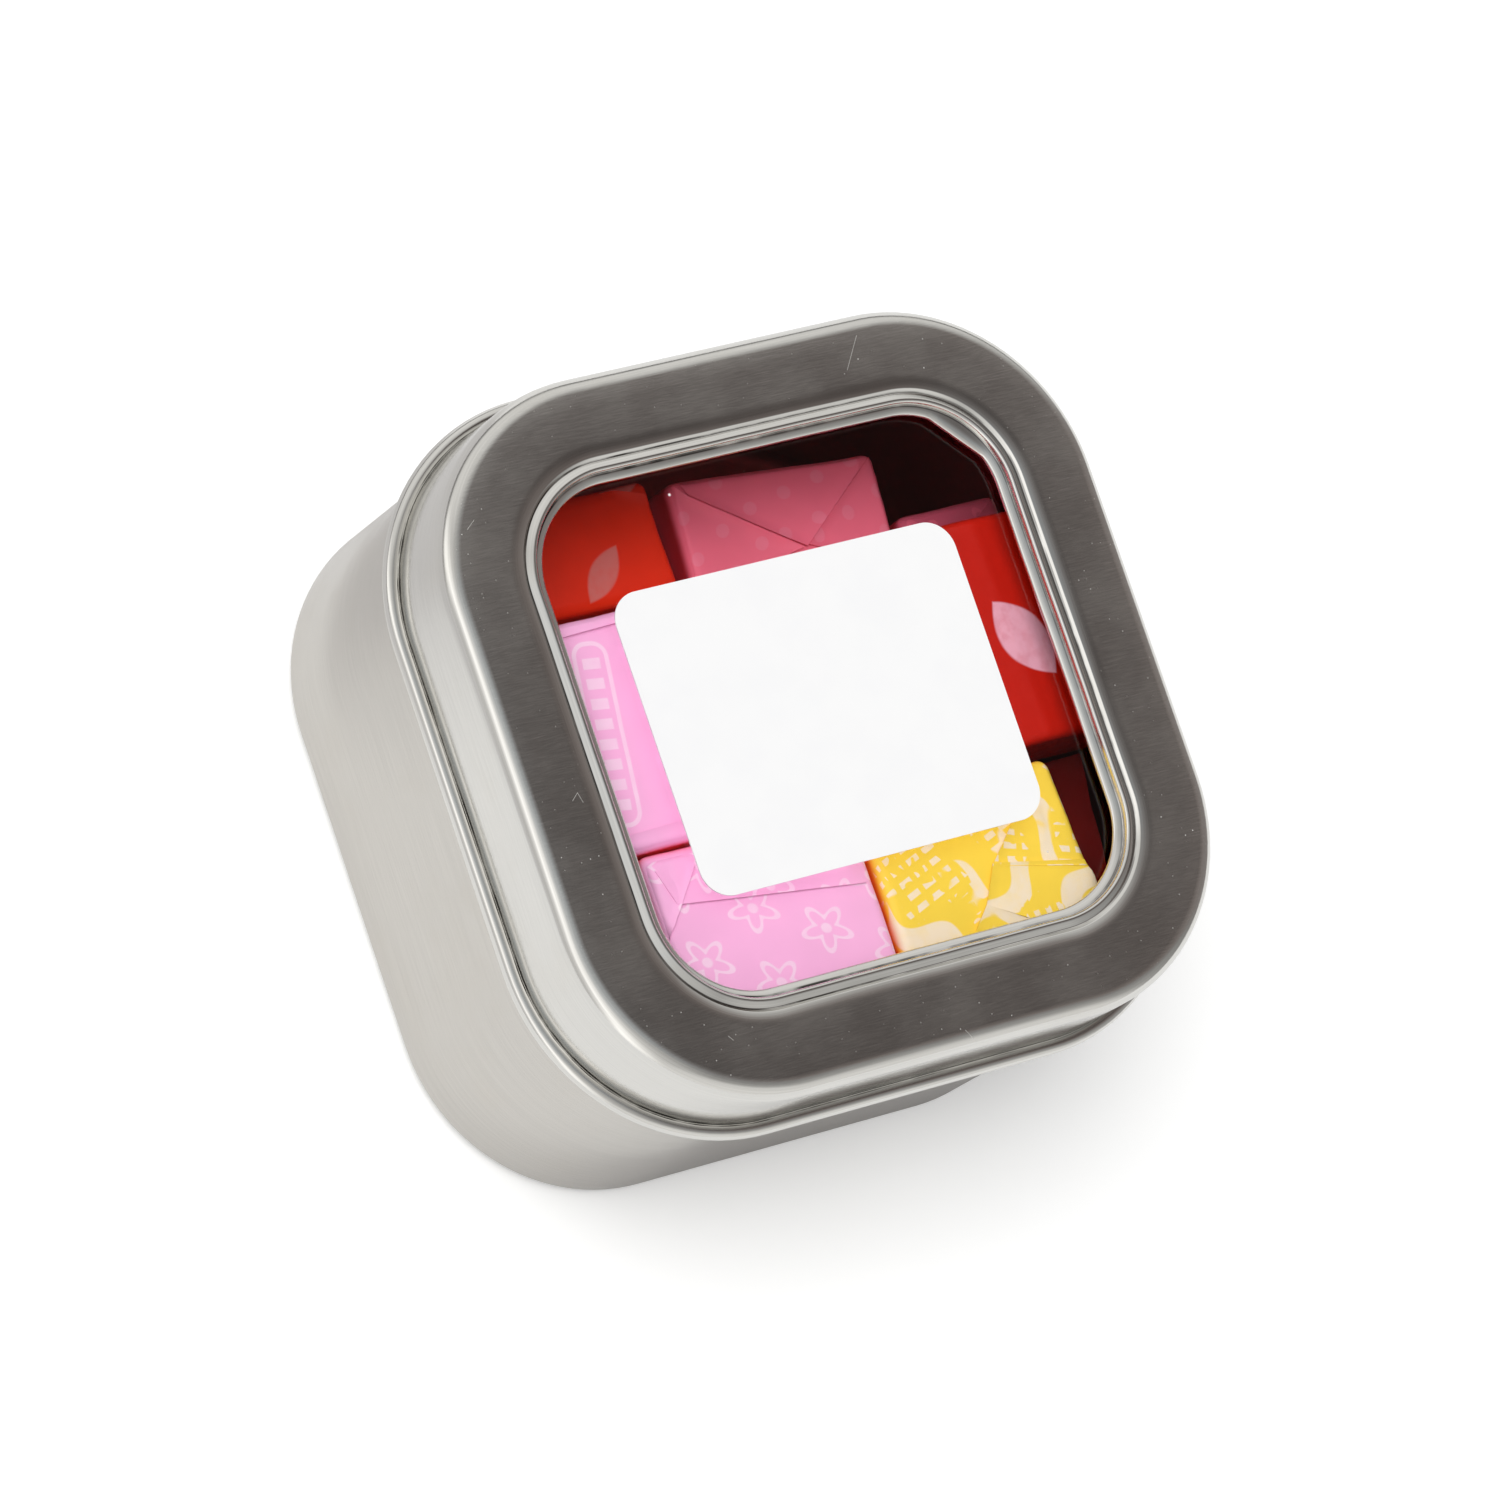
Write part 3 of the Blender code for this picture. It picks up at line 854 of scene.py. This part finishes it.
def make_tinplate(name, tone, rough_face, rough_bend, scratches=(), crevices=(), shaded_inside=False):
    """Bright tinplate. Scratches, painted shade in crevices and a dark red painted-shade lining
    inside the body are optional.
    """
    net = new_material(name)
    place = net.place()
    out, height = ring_place(net, place)
    on_face = net.times(net.spread(out, *FACE_STARTS), net.spread(out, *FACE_ENDS))
    streaks = streaks_of(net, place, out, height, on_face)
    mark = marks_of(net, place, on_face, scratches)
    cloud = net.noise(place, 160.0, 3.0, 0.55)
    base = net.mix(net.spread(streaks, 0.3, 0.7, net.blend(on_face, 0.5, 0.0), 1.0),
                   shaded(tone, 0.84), shaded(tone, 1.0))
    base = net.mix(hairs_of(net, place, on_face), base, HAIR_TONE)
    clouded = [part * share for part, share in zip(tone, CLOUD_SHARES)]
    base = net.mix(net.spread(cloud, 0.45, 0.8, 0.0, 0.25), base, clouded)
    rough = net.plus(net.blend(on_face, rough_bend, rough_face),
                     net.spread(cloud, 0.35, 0.75, -0.02, 0.04))
    # Painted shade in the crevices
    for crevice in crevices:
        base = net.mix(crevice_shade(net, place, out, height, crevice), base, CREVICE_SHADE_TONE)
    # Painted shade: a dark red lining inside the body
    if shaded_inside:
        inside = inside_cup(net, out, height)
        base = net.mix(inside, base, INSIDE_SHADE_TONE)
        rough = net.blend(inside, rough, INSIDE_ROUGHNESS)
    base = net.mix(mark, base, MARK_TONE)
    relief = net.bump(streaks, 0.1, 0.00002)
    relief = net.bump(mark, 0.3, 0.00003, relief)
    net.principled(Base_Color=base, Metallic=net.spread(mark, 0.2, 0.9, 1.0, 0.15),
                   Roughness=net.blend(mark, rough, 0.6), Normal=relief)
    return net.data


PANE_INDEX = 1.45
PANE_ROUGHNESS = 0.06
DUST_TONE = (0.85, 0.83, 0.8)


def make_pane_film():
    """Clear sheet: it passes light straight through, mirrors a little and holds some dust."""
    net = new_material("clear_film")
    dust = cell_dots(net, 420.0, (0.07, 0.03), (0.965, 0.975))
    front = net.minus(1.0, net.node("NewGeometry").outputs["Backfacing"])
    mirrored = net.times(net.node("Fresnel", {"IOR": PANE_INDEX}).outputs["Fac"], front)
    clear = net.node("BsdfTransparent", {"Color": (1, 1, 1)})
    gloss = net.node("BsdfGlossy", {"Color": (1, 1, 1), "Roughness": PANE_ROUGHNESS})
    film = net.node("MixShader", {0: mirrored, 1: clear.outputs[0], 2: gloss.outputs[0]})
    matt = net.principled(Base_Color=DUST_TONE, Roughness=0.8)
    net.surface(net.node("MixShader", {0: dust, 1: film.outputs[0], 2: matt.outputs[0]}))
    return net.data


def make_paper():
    """Matt white label stock with a faint fibre grain."""
    net = new_material("white_paper")
    fibre = net.noise(net.place(), 2600.0, 4.0, 0.6)
    cloud = net.noise(net.place(), 220.0, 2.0)
    base = net.mix(net.spread(cloud, 0.35, 0.7), (0.94, 0.94, 0.94), (0.925, 0.925, 0.93))
    net.principled(Base_Color=base, Roughness=net.spread(fibre, 0.3, 0.7, 0.6, 0.75),
                   Normal=net.bump(fibre, 0.15, 0.00002))
    return net.data


# Prints: each gives 1 where the wrapper is pale


def cell_places(net, flat, width, height, turn, stagger=0.0, shift=(0, 0, 0)):
    """Places from the middle of their own cell in a repeated layout, in shares of the cell."""
    x, y, _ = net.axes(net.turned(flat, turn, shift))
    up = net.maths("DIVIDE", y, height)
    row_shift = net.times(net.maths("FLOOR", up), stagger)
    across = net.plus(net.maths("DIVIDE", x, width), row_shift)
    return net.minus(net.maths("FRACT", across), 0.5), net.minus(net.maths("FRACT", up), 0.5)


def flowers(net, flat):
    """Staggered outlines of five-petalled flowers with small hearts."""
    across, up = cell_places(net, flat, width=0.0062, height=0.0052, turn=28, stagger=0.5)
    far = net.length(net.joined(across, up))
    round_it = net.times(net.maths("ARCTAN2", up, across), 5.0)
    petal = net.plus(net.times(net.maths("COSINE", round_it), 0.09), 0.25)
    edge = net.unsigned(net.minus(far, petal))
    return net.larger(net.spread(edge, 0.05, 0.03), net.spread(far, 0.09, 0.06))


def ribbon(net, flat):
    """A row of short bars in a long rounded frame."""
    spot = net.scaled(net.turned(flat, 7.1, (-0.00034, -0.0002, 0)), 1, 1, 0)
    past = net.vector("SUBTRACT", net.vector("ABSOLUTE", spot), (0.00025, 0.0061, 0))
    far = net.length(net.vector("MAXIMUM", past, (0, 0, 0)))
    frame_line = net.spread(net.unsigned(net.minus(far, 0.0011)), 0.00022, 0.00014)
    x, y, _ = net.axes(spot)
    up = net.minus(net.maths("FRACT", net.maths("DIVIDE", y, 0.0016)), 0.5)
    bars = net.times(net.spread(net.unsigned(x), 0.0008, 0.0007),
                     net.spread(net.unsigned(up), 0.3, 0.24))
    bars = net.times(bars, net.spread(net.unsigned(y), 0.0064, 0.0062))
    return net.larger(frame_line, bars)


def waves(net, flat):
    """Broad wavy bands, with short bars in some places instead."""
    x, y, _ = net.axes(net.turned(flat, 35, (0.0015, 0.0004, 0)))
    sway = net.times(net.maths("SINE", net.times(x, 900.0)), 0.0009)
    band = net.spread(net.maths("PINGPONG", net.plus(y, sway), 0.0026), 0.0011, 0.0009)
    across, up = cell_places(net, flat, width=0.0017, height=0.0011, turn=-20)
    bars = net.times(net.spread(net.unsigned(across), 0.36, 0.32),
                     net.spread(net.unsigned(up), 0.26, 0.2))
    bars = net.times(bars, net.spread(net.noise(flat, 950.0, 0.0), 0.44, 0.47))
    patch = net.spread(net.noise(flat, 170.0, 1.0), 0.49, 0.51)
    gap = net.spread(net.noise(flat, 230.0, 1.0), 0.7, 0.66)
    return net.times(net.blend(patch, band, bars), gap)


def leaves(net, flat, half_width=0.17):
    """Pale leaves, far apart. half_width is a share of the layout's cell."""
    across, up = cell_places(net, flat, width=0.0125, height=0.017, turn=62, stagger=0.37,
                             shift=(0.0053, 0.0101, 0))
    bulge = net.minus(half_width, net.times(net.times(up, up), 3.5))
    return net.spread(net.minus(net.unsigned(across), bulge), 0.012, -0.012)


def small_leaves(net, flat):
    """Leaves about half as wide."""
    return leaves(net, flat, 0.09)


def dots(net, flat):
    """Small pale dots in staggered rows."""
    across, up = cell_places(net, flat, width=0.0034, height=0.003, turn=15, stagger=0.5)
    return net.spread(net.length(net.joined(across, up)), 0.2, 0.16)


def make_wrapper(name, tone, deep, pale, motif, strength):
    """Waxed paper with a pale print and soft creases, and painted shade: a deeper tone just below
    its top, where the chews shade one another.
    """
    net = new_material(name)
    flat = net.node("UVMap", uv_map="print").outputs["UV"]
    place = net.place()
    thin = net.spread(net.noise(place, 900.0, 3.0, 0.6), 0.3, 0.6, 0.8 * strength, strength)
    printed = net.times(motif(net, flat), thin)
    cloud = net.noise(place, 260.0, 3.0, 0.5)
    base = net.mix(net.spread(cloud, 0.3, 0.7), tone, shaded(tone, 0.96))
    base = net.mix(printed, base, pale)
    # Painted shade: the deep tone, mixed in from just below the chew's top
    depth = net.node("Attribute", attribute_name="depth").outputs["Fac"]
    painted_shade = net.times(net.spread(depth, 0.0002, 0.0014, 0.0, 0.95),
                     net.spread(depth, 0.0016, 0.006, 1.0, 0.4))
    base = net.mix(painted_shade, base, deep)
    creased = net.noise(place, 260.0, 2.0, 0.5, noise_type="RIDGED_MULTIFRACTAL", normalize=True)
    crinkle = net.noise(place, 900.0, 3.0, 0.6)
    relief = net.bump(creased, 0.15, 0.0001)
    relief = net.bump(crinkle, 0.2, 0.00004, relief)
    net.principled(Base_Color=base, Roughness=net.spread(crinkle, 0.3, 0.7, 0.34, 0.46),
                   Normal=relief, Specular_IOR_Level=0.3, Coat_Weight=0.08, Coat_Roughness=0.25)
    return net.data


# Studio

FLOOR_HALF = 3.0
FLOOR_TONE = (0.92, 0.92, 0.915)
FLOOR_MIRRORED = (0.89, 0.89, 0.885)
FLOOR_DIM = (0.63, 0.62, 0.62)  # mirrored, where a shadow is painted
FLOOR_LIFT = 0.24

# What the tin's metal mirrors, by how far a direction points to the left (-1) or right (1):
# brightness, and a tint that is cool near the middle and warm to the right
STUDIO_ACROSS = (
    (-1.0, 0.65), (-0.955, 0.62), (-0.864, 1.0), (-0.789, 1.38), (-0.7, 1.25), (-0.594, 1.0),
    (-0.508, 0.8), (-0.353, 0.61), (-0.187, 0.53), (0.019, 0.41), (0.157, 0.31), (0.35, 0.15),
    (0.44, 0.055), (0.49, 0.07), (0.54, 0.12), (0.62, 0.175), (0.75, 0.23), (1.0, 0.27),
)
STUDIO_TINTS = (
    (-0.6, (1.0, 0.99, 0.975)), (-0.35, (0.95, 0.98, 1.0)), (0.1, (0.93, 0.97, 1.0)),
    (0.4, (1.0, 0.9, 0.87)), (0.52, (1.0, 0.85, 0.8)), (1.0, (1.0, 0.91, 0.88)),
)
# Brightness by how far it points to the front (-1) or the back (1), and the tint there
STUDIO_ALONG = (
    (-1.0, 0.85), (-0.8, 0.78), (-0.62, 0.4), (-0.3, 0.24), (-0.1, 0.15), (0.06, 0.05),
    (0.11, 0.055), (0.15, 0.065), (0.19, 0.1), (0.4, 0.5), (0.6, 0.75), (0.75, 0.8), (1.0, 0.8),
)
STUDIO_END_TINT = (1.0, 0.99, 0.97)
STUDIO_HORIZON = 0.25  # share that is left near the horizon at the back
STUDIO_PEAK = 1.5
STUDIO_DIFFUSE = 0.37

KEY_WAY = (-0.36, 0.2, 0.91)  # towards the key light
KEY_SPREAD = 50.0  # degrees across
KEY_STRENGTH = 2.3


def ray_kinds(net):
    """Whether a ray comes from the camera or through something, and whether from a gloss."""
    rays = net.node("LightPath").outputs
    return net.larger(rays["Is Camera Ray"], rays["Is Transmission Ray"]), rays["Is Glossy Ray"]


def make_floor():
    """Pale floor that keeps the tin's shadow. Seen straight on it is lifted to white.

    The metal mirrors it with a painted shadow: dimmer close to the tin's right half and behind its
    left half.
    """
    shape = bmesh.new()
    bmesh.ops.create_grid(shape, x_segments=2, y_segments=2, size=FLOOR_HALF)
    mesh = bpy.data.meshes.new("floor")
    shape.to_mesh(mesh)
    shape.free()
    floor = add_object("floor", mesh)
    net = new_material("floor_white")
    seen, glossy = ray_kinds(net)
    x, y, _ = net.axes(net.place())
    out = ring_place(net, net.place())[0]
    # Painted shadow on the floor, seen only in the metal's mirroring
    beside = net.times(net.spread(x, -0.035, 0.0), net.spread(out, 0.0335, 0.0323))
    behind = net.times(net.spread(y, 0.004, 0.034), net.spread(x, 0.008, -0.018))
    dim = net.larger(beside, net.times(behind, net.spread(out, 0.0315, 0.033)))
    tone = net.mix(glossy, FLOOR_TONE, FLOOR_MIRRORED)
    tone = net.mix(net.times(glossy, dim), tone, FLOOR_DIM)
    shader = net.principled(Base_Color=tone, Roughness=0.9, Specular_IOR_Level=0.0)
    lift = net.node("Emission", {"Color": (1, 1, 1), "Strength": net.times(seen, FLOOR_LIFT)})
    net.surface(net.node("AddShader", {0: shader.outputs[0], 1: lift.outputs[0]}))
    mesh.materials.append(net.data)


def ramp(net, value, stops):
    """Colours by a number from -1 to 1."""
    made = net.node("ValToRGB", {"Fac": net.maths("MULTIPLY_ADD", value, 0.5, 0.5)})
    elements = made.color_ramp.elements
    for place, _ in stops[1:-1]:
        elements.new((place + 1) / 2)
    for element, (place, tone) in zip(elements, stops):
        element.position = (place + 1) / 2
        element.color = (*tone, 1.0)
    return made.outputs["Color"]


def brightness(net, value, stops):
    """Brightness by a number from -1 to 1."""
    greys = [(place, (bright / STUDIO_PEAK,) * 3) for place, bright in stops]
    return net.times(ramp(net, value, greys), STUDIO_PEAK)


def make_world():
    """Studio that the metal mirrors. It is bright to the left, in front and at the back.

    The camera sees only white.
    """
    world = bpy.data.worlds.new("studio")
    bpy.context.scene.world = world
    net = Net(world)
    x, y, z = net.axes(net.place("Generated"))
    bright = net.larger(brightness(net, x, STUDIO_ACROSS), brightness(net, y, STUDIO_ALONG))
    low = net.spread(z, 0.04, 0.28, STUDIO_HORIZON, 1.0)
    mirrored = net.times(bright, net.blend(net.spread(y, 0.25, 0.55), 1.0, low))
    at_end = net.spread(net.unsigned(y), 0.2, 0.4)
    tint = net.mix(at_end, ramp(net, x, STUDIO_TINTS), STUDIO_END_TINT)
    seen, glossy = ray_kinds(net)
    strength = net.blend(seen, net.blend(glossy, STUDIO_DIFFUSE, mirrored), 1.0)
    background = net.tree.nodes["Background"]
    net.feed(background.inputs["Color"], net.mix(glossy, (1, 1, 1), tint))
    net.feed(background.inputs["Strength"], strength)


def make_light():
    """One broad key light from high at the left. The metal mirrors the studio, not this."""
    data = bpy.data.lights.new("key", "SUN")
    data.energy = KEY_STRENGTH
    data.angle = math.radians(KEY_SPREAD)
    key = add_object("key", data)
    key.rotation_mode = "QUATERNION"
    key.rotation_quaternion = Vector(KEY_WAY).to_track_quat("Z", "Y")
    key.visible_glossy = False


def make_camera():
    """Camera at the photograph's angle."""
    data = bpy.data.cameras.new("camera")
    data.sensor_width = CAMERA_SENSOR
    data.lens = CAMERA_LENS
    data.clip_start = 0.01
    data.clip_end = 20.0
    camera = add_object("camera", data)
    right = Vector(CAMERA_RIGHT).normalized()
    up = Vector(CAMERA_UP)
    up = (up - right * up.dot(right)).normalized()
    ways = Matrix((right, up, right.cross(up))).transposed()
    camera.matrix_world = Matrix.Translation(CAMERA_PLACE) @ ways.to_4x4()
    bpy.context.scene.camera = camera


# Assembly

bpy.context.scene.view_settings.view_transform = "Standard"
make_camera()
make_world()
make_light()
make_floor()

make_lid_frame(make_tinplate("lid_metal", LID_TONE, 0.22, 0.14, SCRATCHES, CREVICES))
make_tin_body(make_tinplate("body_metal", BODY_TONE, 0.22, 0.2, shaded_inside=True))
make_label(make_paper())
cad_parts["window_pane"].data.materials.clear()
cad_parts["window_pane"].data.materials.append(make_pane_film())

PINK = (1.0, 0.49, 0.78)
# The shade tones are painted shade, mixed in just below each chew's top
PINK_SHADE_TONE = (1.0, 0.07, 0.08)
PINK_PALE = (1.0, 0.72, 0.88)
# A darker copy of the pink paper: painted shade for a chew deep in the tin
PINK_SHADED = (0.6, 0.1, 0.17)
ROSE = (1.0, 0.19, 0.29)
ROSE_SHADE_TONE = (0.45, 0.01, 0.02)
ROSE_PALE = (1.0, 0.36, 0.5)
RED = (0.56, 0.01, 0.003)
RED_SHADE_TONE = (0.36, 0.006, 0.003)
RED_PALE = (0.88, 0.46, 0.58)
# A brighter copy of the red paper: painted light for the back left chew, low in the tin
RED_PAINTED_LIGHT = (0.9, 0.03, 0.005)
RED_PAINTED_LIGHT_PALE = (0.76, 0.22, 0.2)
YELLOW = (1.0, 0.7, 0.07)
YELLOW_SHADE_TONE = (1.0, 0.14, 0.01)
YELLOW_PALE = (0.94, 0.8, 0.62)

# Each name starts with its slot's colour
wrappers = {
    "pink": make_wrapper("pink_paper", PINK, PINK_SHADE_TONE, PINK_PALE, flowers, 0.8),
    "pink_side": make_wrapper("pink_paper_ribbon", PINK, PINK_SHADE_TONE, PINK_PALE, ribbon, 0.8),
    "pink_end": make_wrapper("pink_paper_shaded", PINK_SHADED, ROSE_SHADE_TONE, ROSE, flowers, 0.3),
    "rose": make_wrapper("rose_paper", ROSE, ROSE_SHADE_TONE, ROSE_PALE, dots, 0.3),
    "red": make_wrapper("red_paper", RED, RED_SHADE_TONE, RED_PALE, leaves, 0.9),
    "red_end": make_wrapper("red_paper_painted_light", RED_PAINTED_LIGHT, RED_PAINTED_LIGHT, RED_PAINTED_LIGHT_PALE, small_leaves, 0.9),
    "yellow": make_wrapper("yellow_paper", YELLOW, YELLOW_SHADE_TONE, YELLOW_PALE, waves, 0.95),
}

# The back right chew's box is wider than the chew, because it is turned
stand_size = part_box("chew_back_left")[1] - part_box("chew_back_left")[0]

# Node, how it lies, wrapper, mesh cells along a side; and where it shows, folds and more
CHEWS = (
    ("chew_front_left_low", "flat", "yellow", 8),
    ("chew_front_left_mid", "flat_across", "red", 8),
    ("chew_front_left_top", "flat", "pink", 36, PINK_FOLDS,
     {"creases": PINK_CREASES, "form": lean_back}),
    ("chew_front_right_low", "flat", "pink", 8),
    ("chew_front_right_mid", "flat_across", "red", 8),
    ("chew_front_right_top", "flat", "yellow", 36, YELLOW_FOLDS,
     {"creases": YELLOW_CREASES, "form": narrow_behind_seam}),
    ("chew_left_low", "flat", "red", 8),
    ("chew_left_mid", "flat_across", "red", 8),
    ("chew_left_top", "flat", "pink_side", 36, LEFT_FOLDS, {"creases": LEFT_CREASES}),
    ("chew_right_outer", "faces_x", "pink_end", 16),
    ("chew_right_inner", "faces_x", "yellow", 12),
    ("chew_centre", "faces_x", "red", 12),
    ("chew_right_top", "flat_across", "red", 36, RED_RIGHT_FOLDS,
     {"creases": RED_RIGHT_CREASES, "form": slump_to_right}),
    ("chew_back_left", "faces_y", "red_end", 30, RED_BACK_FOLDS, {"creases": RED_BACK_CREASES}),
    ("chew_back_right", "faces_y", "rose", 30, ROSE_FOLDS,
     {"creases": ROSE_CREASES, "turn": BACK_RIGHT_TURN, "size": stand_size}),
)
for seed, (node, lies, wrapper, cells, *shown) in enumerate(CHEWS, 1):
    folds, more = shown or ((), {})
    slot = wrapper.split("_")[0] + "_wrapper"
    make_chew(node, lies, wrappers[wrapper], slot, seed, cells, folds, **more)

make_loose_flap(wrappers["red"])
